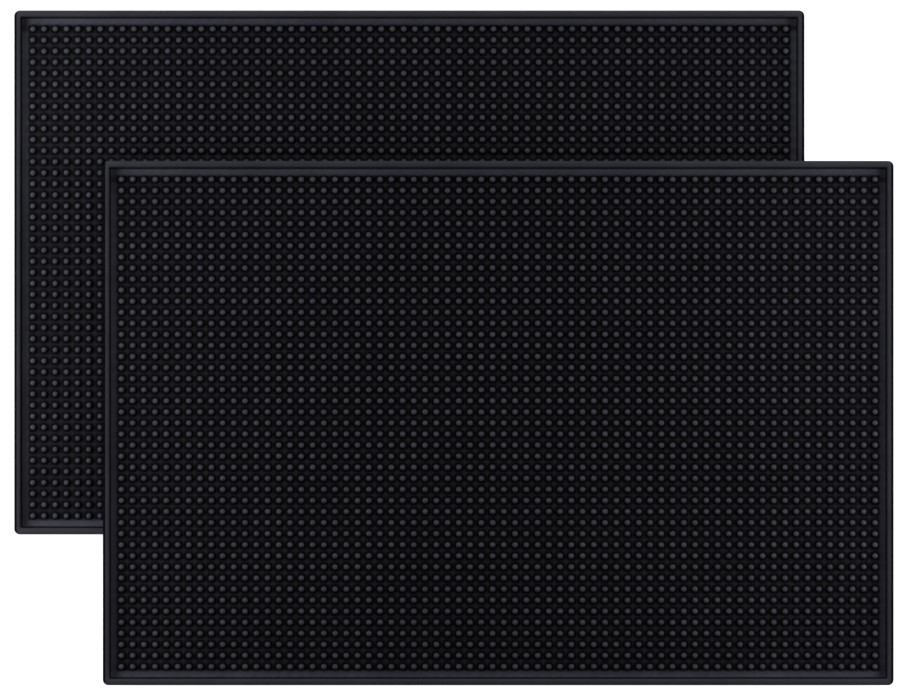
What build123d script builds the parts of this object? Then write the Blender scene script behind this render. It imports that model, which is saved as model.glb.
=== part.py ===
from build123d import *
from build123d.topology import SkipClean
import os

# Rubber bar service mats, a set of two, one lying on the other.
# Each mat is one compression moulding: a thin flat sheet with a raised rim
# round its edge, a plain drain channel inside the rim, and a field of short
# round nubs on which glasses stand while they drip.
# Millimetres, +Z up. The origin is at the middle of the underside of the pair's
# bounding box, on the counter. +X is to the right along the long side, and
# +Y is away from the person who stands at the counter.

# ---- driving dimensions ---------------------------------------------------
mat_length = 457.2          # long side, 18 in
mat_width = 303.2           # short side, 12 in less moulding shrinkage
mat_height = 10.0           # counter to the top of the rim
sheet_thickness = 2.5       # floor of the mat between the nubs
corner_radius = 3.2         # outer corners in plan

wall_rise = 9.4             # height of the outer wall below its bevel
wall_draft = 0.25           # how far the outer wall leans in over that rise
rim_outer = 0.9             # outer edge to the outer side of the rim's flat top
rim_inner = 3.3             # outer edge to the inner side of the rim's flat top
rim_foot = 4.5              # outer edge to the foot of the rim's inner wall
foot_corner_radius = 1.2    # inner corners at the channel floor

nub_columns = 68            # along the long side
nub_rows = 45               # along the short side
nub_pitch_x = 6.50
nub_pitch_y = 6.40
nub_foot_diameter = 4.6     # at the floor
nub_top_diameter = 3.0      # at the flat top
nub_top_height = 8.9        # counter to the nub tops
nub_root = 0.3              # how far the nub's solid is rooted in the floor

offset_x = 51.4             # upper mat to the right of the lower one
offset_y = -87.1            # upper mat towards the front of the lower one
resting_gap = 0.3           # the upper mat's grained underside over the lower rim


def plan(inset, radius):
    """Rounded rectangle in plan, inset from the mat's outer edge."""
    return RectangleRounded(mat_length - 2 * inset, mat_width - 2 * inset, radius)


def lofted(low_inset, low_radius, low_z, high_inset, high_radius, high_z):
    """Ruled solid between two rounded rectangles at two heights."""
    low = Plane.XY.offset(low_z) * plan(low_inset, low_radius)
    high = Plane.XY.offset(high_z) * plan(high_inset, high_radius)
    return loft([low, high], ruled=True)


def tray():
    """Sheet and rim, before the nubs: outer wall, bevel, then the recess."""
    body = lofted(0, corner_radius, 0,
                  wall_draft, corner_radius - wall_draft, wall_rise)
    bevel = lofted(wall_draft, corner_radius - wall_draft, wall_rise,
                   rim_outer, corner_radius - rim_outer, mat_height)
    recess = lofted(rim_foot, foot_corner_radius, sheet_thickness,
                    rim_inner, foot_corner_radius + rim_foot - rim_inner, mat_height)
    return body + bevel - recess


def nub():
    """One drafted nub, its axis on Z, rooted a little in the floor."""
    rise = nub_top_height - sheet_thickness
    slope = (nub_foot_diameter - nub_top_diameter) / 2 / rise
    root_radius = nub_foot_diameter / 2 + slope * nub_root
    shape = Cone(root_radius, nub_top_diameter / 2, rise + nub_root,
                 align=(Align.CENTER, Align.CENTER, Align.MIN))
    return Pos(0, 0, sheet_thickness - nub_root) * shape


def nub_row():
    """One row of nubs on its own strip of sheet, as wide as the row pitch."""
    one = nub()
    strip = Box(nub_columns * nub_pitch_x, nub_pitch_y, sheet_thickness,
                align=(Align.CENTER, Align.CENTER, Align.MIN))
    nubs = [one.moved(Location(((i - (nub_columns - 1) / 2) * nub_pitch_x, 0, 0)))
            for i in range(nub_columns)]
    return strip.fuse(*nubs).solids()[0]


def mat():
    """Rim and channel round a field of nub rows, joined into one moulding.

    The strips stay separate faces of the floor and the underside, which keeps
    each face's outline short."""
    field = Box(nub_columns * nub_pitch_x, nub_rows * nub_pitch_y, 3 * sheet_thickness)
    border = (tray() - field).solids()[0]
    row = nub_row()
    rows = [row.moved(Location((0, (j - (nub_rows - 1) / 2) * nub_pitch_y, 0)))
            for j in range(nub_rows)]
    with SkipClean():
        return border.fuse(*rows)


os.makedirs("parts", exist_ok=True)

moulding = mat()
if isinstance(moulding, (list, ShapeList)):
    moulding = moulding[0]
solid = moulding.solids()[0]

# the lower mat lies on the counter, the upper mat lies on its rim
lower = solid.moved(Location((-offset_x / 2, -offset_y / 2, 0)))
upper = solid.moved(Location((offset_x / 2, offset_y / 2, mat_height + resting_gap)))

for name, shape, colour in (("lower_mat", lower, Color(0.03, 0.03, 0.034)),
                            ("upper_mat", upper, Color(0.05, 0.05, 0.056))):
    shape.label = name
    shape.color = colour
    export_step(shape, f"parts/{name}.step")
    print(name, "solids", len(shape.solids()), "volume", round(shape.volume, 1))
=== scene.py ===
import math
import bpy
import numpy as np
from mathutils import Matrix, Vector


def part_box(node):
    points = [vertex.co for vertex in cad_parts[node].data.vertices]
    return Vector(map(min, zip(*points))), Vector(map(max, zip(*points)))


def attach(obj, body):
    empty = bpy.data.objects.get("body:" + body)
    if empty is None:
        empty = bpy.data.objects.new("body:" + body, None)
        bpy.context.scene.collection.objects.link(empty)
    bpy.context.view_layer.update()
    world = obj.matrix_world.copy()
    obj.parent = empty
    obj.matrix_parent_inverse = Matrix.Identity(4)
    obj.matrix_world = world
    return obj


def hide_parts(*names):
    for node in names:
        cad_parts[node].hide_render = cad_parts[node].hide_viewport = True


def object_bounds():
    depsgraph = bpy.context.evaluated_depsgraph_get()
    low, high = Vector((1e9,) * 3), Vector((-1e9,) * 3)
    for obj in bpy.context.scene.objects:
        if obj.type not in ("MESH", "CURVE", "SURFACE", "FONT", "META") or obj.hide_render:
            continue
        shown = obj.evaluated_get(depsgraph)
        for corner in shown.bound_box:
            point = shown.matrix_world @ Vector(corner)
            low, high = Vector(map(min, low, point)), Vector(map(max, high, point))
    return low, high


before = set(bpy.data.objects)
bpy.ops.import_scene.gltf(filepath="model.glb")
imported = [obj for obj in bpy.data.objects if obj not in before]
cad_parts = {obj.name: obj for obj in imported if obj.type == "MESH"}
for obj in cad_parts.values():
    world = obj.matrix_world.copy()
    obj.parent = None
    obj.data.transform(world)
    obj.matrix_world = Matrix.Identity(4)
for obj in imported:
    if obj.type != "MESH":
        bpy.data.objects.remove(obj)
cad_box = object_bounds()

# ---------------------------------------------------------------- dimensions
# Metres. The mats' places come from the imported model; the section through
# the rim, the nub grid and the sheet are the same numbers as the design's.
MM = 0.001
NX, NY = 68, 45
PITCH_X, PITCH_Y = 6.50 * MM, 6.40 * MM
SHEET = 2.5 * MM
NUB_TOP = 8.9 * MM

# ---------------------------------------------------------------- the rubber
FLANK_AND_FOOT_SHADE = 0.004             # painted shade: the near-black albedo of the nubs' flanks and feet, and of every surface no other zone covers
OPEN_FLOOR_LIGHT = 0.037             # painted light: the open floor between four nubs, lighter the farther it lies from the nubs
PAINTED_CHANNEL_LIGHT = 0.105          # painted light: the drain channel, made lighter
TOP_HIGHLIGHT = 0.058              # painted highlight: the nub tops, lighter
RIM = 0.036              # the rim's top
PAINTED_WALL_SHADE = 0.005             # painted shade: the ends' outer wall and the rolled edge above it, near-black
R_FLOOR, R_TOP, R_RIM, R_WALL = 0.70, 0.60, 0.52, 0.92
SPECULAR = 0.30
WALL_SPECULAR = 0.0


def tint(v, k=1.0):
    """A near-black with the rubber's slight blue cast."""
    return (v * k * 0.98, v * k * 0.97, v * k * 1.23)


# ------------------------------------------------------------------ materials


def new_material(name):
    m = bpy.data.materials.new(name)
    m.use_nodes = True
    nt = m.node_tree
    nt.nodes.clear()
    out = nt.nodes.new("ShaderNodeOutputMaterial")
    p = nt.nodes.new("ShaderNodeBsdfPrincipled")
    nt.links.new(p.outputs["BSDF"], out.inputs["Surface"])
    return m, nt, p


def noise(nt, vec, scale, detail=4.0, rough=0.55, distortion=0.0):
    n = nt.nodes.new("ShaderNodeTexNoise")
    n.inputs["Scale"].default_value = scale
    n.inputs["Detail"].default_value = detail
    n.inputs["Roughness"].default_value = rough
    n.inputs["Distortion"].default_value = distortion
    nt.links.new(vec, n.inputs["Vector"])
    return n.outputs["Fac"]


def ramp(nt, fac, stops):
    r = nt.nodes.new("ShaderNodeValToRGB")
    cr = r.color_ramp
    while len(cr.elements) < len(stops):
        cr.elements.new(0.5)
    for e, (pos, col) in zip(cr.elements, stops):
        e.position = pos
        e.color = (*col, 1.0) if len(col) == 3 else col
    nt.links.new(fac, r.inputs["Fac"])
    return r.outputs["Color"]


def map_range(nt, value, lo, hi, to_lo, to_hi, clamp=True):
    r = nt.nodes.new("ShaderNodeMapRange")
    r.clamp = clamp
    for key, v in (("From Min", lo), ("From Max", hi), ("To Min", to_lo), ("To Max", to_hi)):
        r.inputs[key].default_value = v
    nt.links.new(value, r.inputs["Value"])
    return r.outputs["Result"]


def maths(nt, op, a, b=None):
    n = nt.nodes.new("ShaderNodeMath")
    n.operation = op
    for i, v in enumerate((a, b)):
        if v is None:
            continue
        if isinstance(v, (int, float)):
            n.inputs[i].default_value = v
        else:
            nt.links.new(v, n.inputs[i])
    return n.outputs[0]


def mix_colour(nt, fac, a, b, blend="MIX"):
    n = nt.nodes.new("ShaderNodeMix")
    n.data_type = "RGBA"
    n.blend_type = blend
    if isinstance(fac, float):
        n.inputs["Factor"].default_value = fac
    else:
        nt.links.new(fac, n.inputs["Factor"])
    for sock, v in ((n.inputs[6], a), (n.inputs[7], b)):
        if isinstance(v, tuple):
            sock.default_value = (*v, 1.0)
        else:
            nt.links.new(v, sock)
    return n.outputs[2]


def cell_distance(nt, coord, centre, pitch, even):
    """Offset along one axis from the nearest nub of the row, in metres."""
    u = maths(nt, "SUBTRACT", coord, centre)
    u = maths(nt, "DIVIDE", u, pitch)
    if not even:
        u = maths(nt, "ADD", u, 0.5)
    u = maths(nt, "FRACT", maths(nt, "ADD", u, 200.0))
    u = maths(nt, "SUBTRACT", u, 0.5)
    return maths(nt, "MULTIPLY", u, pitch)


def zone(nt, base, mask, colour, label):
    """Lay one zone's colour over the base where its mask says."""
    out = mix_colour(nt, mask, base, colour)
    out.node.name = "zone_" + label
    return out


def rubber(name, centre, base_z, half, seed, specular=SPECULAR):
    """Black moulded rubber: fine mould grain, a faint bloom that clouds the surface,
    random light flecks, and the rim's top in the rubber's own grey-black; a painted
    highlight on the nub tops, painted light on the open floor between four nubs and
    in the drain channel, and near-black painted shade on the nubs' flanks and feet
    and on the ends' outer walls."""
    m, nt, p = new_material(name)
    tc = nt.nodes.new("ShaderNodeTexCoord")
    mp = nt.nodes.new("ShaderNodeMapping")
    mp.inputs["Location"].default_value = (seed * 0.37, seed * 0.11, 0.0)
    nt.links.new(tc.outputs["Object"], mp.inputs["Vector"])
    vec = mp.outputs["Vector"]
    sep = nt.nodes.new("ShaderNodeSeparateXYZ")
    nt.links.new(tc.outputs["Object"], sep.inputs["Vector"])
    X, Y, Z = sep.outputs["X"], sep.outputs["Y"], sep.outputs["Z"]
    ax = maths(nt, "ABSOLUTE", maths(nt, "SUBTRACT", X, float(centre[0])))
    ay = maths(nt, "ABSOLUTE", maths(nt, "SUBTRACT", Y, float(centre[1])))

    # where on the moulding this point is
    top = map_range(nt, Z, base_z + 7.5 * MM, base_z + 8.7 * MM, 0.0, 1.0)
    rim = map_range(nt, Z, base_z + 9.05 * MM, base_z + 9.6 * MM, 0.0, 1.0)
    low = map_range(nt, Z, base_z + 2.6 * MM, base_z + 3.0 * MM, 1.0, 0.0)
    dx = cell_distance(nt, X, float(centre[0]), PITCH_X, NX % 2 == 0)
    dy = cell_distance(nt, Y, float(centre[1]), PITCH_Y, NY % 2 == 0)
    d = maths(nt, "SQRT", maths(nt, "ADD", maths(nt, "MULTIPLY", dx, dx), maths(nt, "MULTIPLY", dy, dy)))
    # mask for the painted light on the open floor, farthest from the nubs
    open_floor_light_mask = maths(nt, "MULTIPLY", map_range(nt, d, 2.7 * MM, 4.3 * MM, 0.0, 1.0), low)
    out_x = map_range(nt, ax, NX / 2 * PITCH_X - 1.2 * MM, NX / 2 * PITCH_X + 0.4 * MM, 0.0, 1.0)
    out_y = map_range(nt, ay, NY / 2 * PITCH_Y - 1.5 * MM, NY / 2 * PITCH_Y + 0.1 * MM, 0.0, 1.0)
    channel = maths(nt, "MULTIPLY", maths(nt, "MAXIMUM", out_x, out_y),
                    map_range(nt, Z, base_z + 2.6 * MM, base_z + 3.6 * MM, 1.0, 0.0))
    wall = map_range(nt, ax, float(half[0]) - 1.80 * MM, float(half[0]) - 1.45 * MM, 0.0, 1.0)

    bloom = noise(nt, vec, 38.0, 5.0, 0.6, 0.4)
    patch = noise(nt, vec, 9.0, 3.0, 0.5, 0.2)
    speck = noise(nt, vec, 900.0, 2.0, 0.6)
    grain = noise(nt, vec, 2600.0, 3.0, 0.65)
    pebble = noise(nt, vec, 700.0, 3.0, 0.55)

    # painted shade: near-black flanks and feet; painted light: a lighter open floor between four nubs
    base = zone(nt, tint(FLANK_AND_FOOT_SHADE), open_floor_light_mask, tint(OPEN_FLOOR_LIGHT), "painted_floor_light")
    # painted light: a lighter drain channel
    base = zone(nt, base, channel, tint(PAINTED_CHANNEL_LIGHT), "channel")
    # painted highlight: lighter nub tops
    base = zone(nt, base, top, tint(TOP_HIGHLIGHT), "top")
    base = zone(nt, base, rim, (RIM * 0.98, RIM * 0.99, RIM * 1.11), "rim")
    # painted shade: near-black outer wall and rolled edge at the two ends
    base = zone(nt, base, wall, tint(PAINTED_WALL_SHADE), "wall")
    cloud = ramp(nt, bloom, [(0.28, (0.80, 0.80, 0.82)), (0.52, (1.0, 1.0, 1.0)), (0.76, (1.22, 1.22, 1.20))])
    base = mix_colour(nt, 1.0, base, cloud, "MULTIPLY")
    # random lighter flecks in the rubber, their colour scaled from the tops' painted-highlight value
    fleck = map_range(nt, speck, 0.62, 0.78, 0.0, 0.30)
    base = mix_colour(nt, fleck, base, tint(TOP_HIGHLIGHT, 1.6))
    nt.links.new(base, p.inputs["Base Color"])

    r = map_range(nt, top, 0.0, 1.0, R_FLOOR, R_TOP)
    r.node.name = "rough_top"
    r = maths(nt, "ADD", r, map_range(nt, rim, 0.0, 1.0, 0.0, R_RIM - R_TOP))
    r.node.inputs[1].links[0].from_node.name = "rough_rim"
    r = maths(nt, "ADD", r, map_range(nt, wall, 0.0, 1.0, 0.0, R_WALL - R_RIM))
    r.node.inputs[1].links[0].from_node.name = "rough_wall"
    r = maths(nt, "ADD", r, map_range(nt, patch, 0.3, 0.7, -0.03, 0.03))
    r = maths(nt, "ADD", r, map_range(nt, grain, 0.3, 0.7, -0.04, 0.04))
    nt.links.new(r, p.inputs["Roughness"])
    p.inputs["Specular IOR Level"].default_value = specular
    p.inputs["IOR"].default_value = 1.50

    b1 = nt.nodes.new("ShaderNodeBump")
    b1.inputs["Strength"].default_value = 0.35
    b1.inputs["Distance"].default_value = 0.00005
    nt.links.new(pebble, b1.inputs["Height"])
    b2 = nt.nodes.new("ShaderNodeBump")
    b2.inputs["Strength"].default_value = 0.30
    b2.inputs["Distance"].default_value = 0.00002
    nt.links.new(grain, b2.inputs["Height"])
    nt.links.new(b1.outputs["Normal"], b2.inputs["Normal"])
    nt.links.new(b2.outputs["Normal"], p.inputs["Normal"])
    return m


# --------------------------------------------------------------------- meshes


def mesh_object(name, verts, faces, sharp=None):
    me = bpy.data.meshes.new(name)
    me.from_pydata([tuple(v) for v in verts], [], faces)
    me.update()
    me.polygons.foreach_set("use_smooth", [True] * len(me.polygons))
    if sharp is not None:
        me.set_sharp_from_angle(angle=sharp)
    ob = bpy.data.objects.new(name, me)
    bpy.context.scene.collection.objects.link(ob)
    return ob


def outline(half_x, half_y, radius, z, corner_steps, side_steps):
    """Points of a rounded rectangle at height z, anticlockwise from above."""
    pts = []
    corners = ((1, 1, 0), (-1, 1, 90), (-1, -1, 180), (1, -1, 270))
    arcs = []
    for sx, sy, start in corners:
        cx, cy = sx * (half_x - radius), sy * (half_y - radius)
        arcs.append([(cx + radius * math.cos(math.radians(start + 90 * k / corner_steps)),
                      cy + radius * math.sin(math.radians(start + 90 * k / corner_steps)))
                     for k in range(corner_steps + 1)])
    for i, arc in enumerate(arcs):
        pts += arc
        ax, ay = arc[-1]
        bx, by = arcs[(i + 1) % 4][0]
        n = side_steps[i % 2]
        pts += [(ax + (bx - ax) * k / n, ay + (by - ay) * k / n) for k in range(1, n)]
    return np.array([(x, y, z) for x, y in pts])


# Section through the edge: inset from the outer edge, height, plan radius.
SECTION = [
    (7.0, 0.35, 1.2), (6.4, 0.32, 1.5), (6.0, 0.06, 1.7), (5.6, 0.0, 1.8),
    (0.75, 0.0, 2.65), (0.28, 0.10, 2.98), (0.06, 0.38, 3.15), (0.0, 0.95, 3.2),
    (0.08, 3.6, 3.15), (0.18, 7.2, 3.05), (0.25, 9.05, 2.95), (0.33, 9.40, 2.88),
    (0.50, 9.68, 2.72), (0.78, 9.88, 2.48), (1.15, 9.98, 2.15), (1.50, 10.0, 1.9),
    (2.60, 10.0, 1.75), (2.95, 9.94, 1.6), (3.22, 9.76, 1.5), (3.42, 9.44, 1.45),
    (3.58, 8.95, 1.4), (4.62, 3.50, 1.1), (4.76, 3.06, 1.05), (4.98, 2.74, 1.0),
    (5.28, 2.56, 0.9), (5.65, 2.50, 0.8),
]


def build_body(name, centre, base_z, half_x, half_y, seed, rubber_skin, wall_skin):
    """Sheet, channel and rim as one closed skin."""
    rng = np.random.default_rng(seed)
    k, sides = 8, (60, 40)
    rings = []
    for inset, z, rad in SECTION:
        ring = outline(half_x - inset * MM, half_y - inset * MM, rad * MM, z * MM, k, sides)
        rings.append(ring)
    n = len(rings[0])
    # the rim's top wanders by a few hundredths of a millimetre, as moulded rubber does
    t = np.arange(n) / n * 2 * math.pi
    wave = sum(rng.uniform(0.4, 1.0) * np.sin(f * t + rng.uniform(0, 6.28)) for f in (5, 9, 14, 23))
    wave = wave / np.abs(wave).max()
    for ring, (inset, z, rad) in zip(rings, SECTION):
        if z > 8.0:
            ring[:, 2] -= (0.05 * MM) * (0.5 + 0.5 * wave)
    verts = np.vstack(rings)
    verts = verts + np.array([centre[0], centre[1], base_z])
    faces, skin = [], []
    for r in range(len(rings) - 1):
        a, b = r * n, (r + 1) * n
        for i in range(n):
            j = (i + 1) % n
            faces.append((a + j, a + i, b + i, b + j)[::-1])
            run = verts[b + j] - verts[b + i]
            end_wall = abs(run[1]) > 0.5 * math.hypot(run[0], run[1])
            skin.append(1 if WALL_RINGS[0] <= r < WALL_RINGS[1] and end_wall else 0)
    faces.append(tuple(range(n))[::-1])                          # underside
    last = (len(rings) - 1) * n
    faces.append(tuple(range(last, last + n)))                   # floor
    ob = mesh_object(name, verts, faces, sharp=math.radians(50))
    ob.data.materials.append(rubber_skin)
    ob.data.materials.append(wall_skin)
    ob.data.polygons.foreach_set("material_index", skin + [0, 0])
    return ob


WALL_RINGS = (4, 15)     # the rings of the section that make the outer wall and its rolled top edge


# One nub's section: radius, height over the counter plane of its mat.
NUB = [
    (2.46, 2.30), (2.38, 2.53), (2.24, 2.78), (2.10, 3.40),
    (1.66, 7.30), (1.58, 7.85), (1.44, 8.28), (1.18, 8.60), (0.84, 8.79), (0.44, 8.88),
]
SEG = 12


def build_nubs(name, centre, base_z, columns, seed):
    """A block of nub columns; every nub is a closed lathed form rooted in the sheet."""
    rng = np.random.default_rng(seed)
    prof = np.array(NUB) * MM
    ang = np.arange(SEG) / SEG * 2 * math.pi
    ring = np.stack([np.cos(ang), np.sin(ang)], 1)
    one = np.array([(r * c, r * s, z) for r, z in prof for c, s in ring]
                   + [(0.0, 0.0, prof[0, 1]), (0.0, 0.0, NUB_TOP)])
    rings = len(prof)
    f1 = []
    for r in range(rings - 1):
        for i in range(SEG):
            j = (i + 1) % SEG
            f1.append((r * SEG + i, r * SEG + j, (r + 1) * SEG + j, (r + 1) * SEG + i))
    bottom, top = rings * SEG, rings * SEG + 1
    for i in range(SEG):
        j = (i + 1) % SEG
        f1.append((bottom, j, i))
        f1.append((top, (rings - 1) * SEG + i, (rings - 1) * SEG + j))
    verts, faces = [], []
    count = 0
    rise = (one[:, 2] - SHEET) / (NUB_TOP - SHEET)
    rise = np.clip(rise, 0, 1)
    for cx in columns:
        for j in range(NY):
            x = (cx - (NX - 1) / 2) * PITCH_X
            y = (j - (NY - 1) / 2) * PITCH_Y
            lean = rng.normal(0, 0.035, 2) * MM           # at the top
            turn = rng.uniform(0, 2 * math.pi)
            c, s = math.cos(turn), math.sin(turn)
            v = one.copy()
            v[:, 0], v[:, 1] = one[:, 0] * c - one[:, 1] * s, one[:, 0] * s + one[:, 1] * c
            v[:, 0] += x + lean[0] * rise
            v[:, 1] += y + lean[1] * rise
            # a top that isn't quite level, and a height that varies a little
            tilt = rng.normal(0, 0.018, 2)
            low = abs(rng.normal(0, 0.03)) * MM
            top_zone = np.clip((one[:, 2] - 7.6 * MM) / (1.0 * MM), 0, 1)
            v[:, 2] -= top_zone * (low + 0.02 * MM)
            v[:, 2] += top_zone * (one[:, 0] * tilt[0] + one[:, 1] * tilt[1]) - top_zone * np.hypot(*tilt) * 1.3 * MM
            verts.append(v)
            faces += [tuple(q + count for q in f) for f in f1]
            count += len(one)
    verts = np.vstack(verts) + np.array([centre[0], centre[1], base_z])
    return mesh_object(name, verts, faces)


def build_mat(node, body, seed):
    lo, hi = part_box(node)
    lo, hi = np.array(lo), np.array(hi)
    centre = (lo + hi) / 2
    half = (hi - lo) / 2
    m = rubber(node + "_rubber", centre, float(lo[2]), half, seed)
    # the ends' outer walls get a second material with no specular reflection, so they look duller; their near-black
    # colour is painted shade
    ends = rubber(node + "_end_wall", centre, float(lo[2]), half, seed, WALL_SPECULAR)
    body_ob = build_body(node + "_sheet_and_rim", centre, lo[2], half[0], half[1], seed, m, ends)
    nubs = []
    blocks = 4
    for b in range(blocks):
        cols = range(b * NX // blocks, (b + 1) * NX // blocks)
        nubs.append(build_nubs(f"{node}_nubs_{b + 1}", centre, lo[2], cols, seed * 10 + b))
    for ob in nubs:
        ob.data.materials.append(m)
    made = [body_ob] + nubs
    for ob in made:
        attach(ob, body)
    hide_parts(node)
    return made


build_mat("lower_mat", "lower", 3)
build_mat("upper_mat", "upper", 7)

# ---------------------------------------------------------------------- stage


FLOOR_GLOW = 0.10
WORLD = 0.045


def stage_floor():
    me = bpy.data.meshes.new("floor")
    s = 30.0
    me.from_pydata([(-s, -s, 0), (s, -s, 0), (s, s, 0), (-s, s, 0)], [], [(0, 1, 2, 3)])
    ob = bpy.data.objects.new("floor", me)
    ob.location = (0, 0, -0.0002)
    bpy.context.scene.collection.objects.link(ob)
    m, nt, p = new_material("floor_white")
    tc = nt.nodes.new("ShaderNodeTexCoord")
    col = ramp(nt, noise(nt, tc.outputs["Object"], 6.0), [(0.3, (0.42, 0.42, 0.42)), (0.7, (0.45, 0.45, 0.45))])
    nt.links.new(col, p.inputs["Base Color"])
    p.inputs["Roughness"].default_value = 0.9
    p.inputs["Specular IOR Level"].default_value = 0.1
    # a light table: it glows white behind the object, but lights it only a little
    glow = nt.nodes.new("ShaderNodeEmission")
    lp = nt.nodes.new("ShaderNodeLightPath")
    glow.inputs["Color"].default_value = (1, 1, 1, 1)
    strength = maths(nt, "MULTIPLY", lp.outputs["Is Camera Ray"], 1.0 - FLOOR_GLOW)
    nt.links.new(maths(nt, "ADD", strength, FLOOR_GLOW), glow.inputs["Strength"])
    add = nt.nodes.new("ShaderNodeAddShader")
    out = [n for n in nt.nodes if n.type == "OUTPUT_MATERIAL"][0]
    nt.links.new(p.outputs["BSDF"], add.inputs[0])
    nt.links.new(glow.outputs["Emission"], add.inputs[1])
    nt.links.new(add.outputs["Shader"], out.inputs["Surface"])
    me.materials.append(m)
    return ob


stage_floor()

lo, hi = cad_box
mid = Vector(((lo[0] + hi[0]) / 2, (lo[1] + hi[1]) / 2, 0.0))


def softbox(name, place, aim, size_x, size_y, power, colour=(1, 1, 1)):
    d = bpy.data.lights.new(name, "AREA")
    d.shape = "RECTANGLE"
    d.size, d.size_y = size_x, size_y
    d.energy = power
    d.color = colour
    o = bpy.data.objects.new(name, d)
    o.location = Vector(place)
    o.rotation_euler = (Vector(aim) - Vector(place)).to_track_quat("-Z", "Y").to_euler()
    o.visible_camera = False
    bpy.context.scene.collection.objects.link(o)
    return o


# Four long softboxes low round the mats rake across the nubs and the rims, and
# two weak ones overhead lift the open floor.
COOL = (0.89, 0.91, 1.0)
softbox("soft_left", (-0.47, 0.02, 0.22), (-0.10, 0.0, 0.0), 0.60, 0.25, 1.70, COOL)
softbox("soft_right", (0.50, 0.02, 0.22), (0.10, 0.0, 0.0), 0.60, 0.25, 1.60, COOL)
softbox("soft_back", (0.0, 0.80, 0.42), (0.0, 0.0, 0.0), 0.90, 0.30, 2.60, COOL)
softbox("soft_front", (0.0, -0.95, 0.60), (0.0, -0.05, 0.0), 0.90, 0.30, 0.50, COOL)
softbox("soft_over_left", (-0.30, 0.15, 0.70), (-0.30, 0.0, 0.0), 0.80, 0.20, 0.10, COOL)
softbox("soft_over_right", (0.30, 0.15, 0.70), (0.30, 0.0, 0.0), 0.80, 0.20, 0.10, COOL)

w = bpy.data.worlds.new("studio")
bpy.context.scene.world = w
w.use_nodes = True
wt = w.node_tree
bg = wt.nodes["Background"]
bg.inputs["Color"].default_value = (0.95, 0.975, 1.0, 1)
wlp = wt.nodes.new("ShaderNodeLightPath")
wt.links.new(maths(wt, "ADD", maths(wt, "MULTIPLY", wlp.outputs["Is Camera Ray"], 1.0 - WORLD), WORLD),
             bg.inputs["Strength"])

# --------------------------------------------------------------------- camera
cam = bpy.data.cameras.new("camera")
cam.sensor_width = 36.0
CAM_H = 14.0
VIEW_W = 0.5200          # width of the view at the upper mat's top
cam.lens = 36.0 * (CAM_H - hi[2]) / VIEW_W
cam.clip_end = 100.0
co = bpy.data.objects.new("camera", cam)
co.location = (mid.x - 0.00217, mid.y + 0.00186, CAM_H)
co.rotation_euler = (0, 0, 0)
bpy.context.scene.collection.objects.link(co)
bpy.context.scene.camera = co

vs = bpy.context.scene.view_settings
vs.view_transform = "Standard"
vs.look = "None"
vs.exposure = 0.0
vs.gamma = 1.0
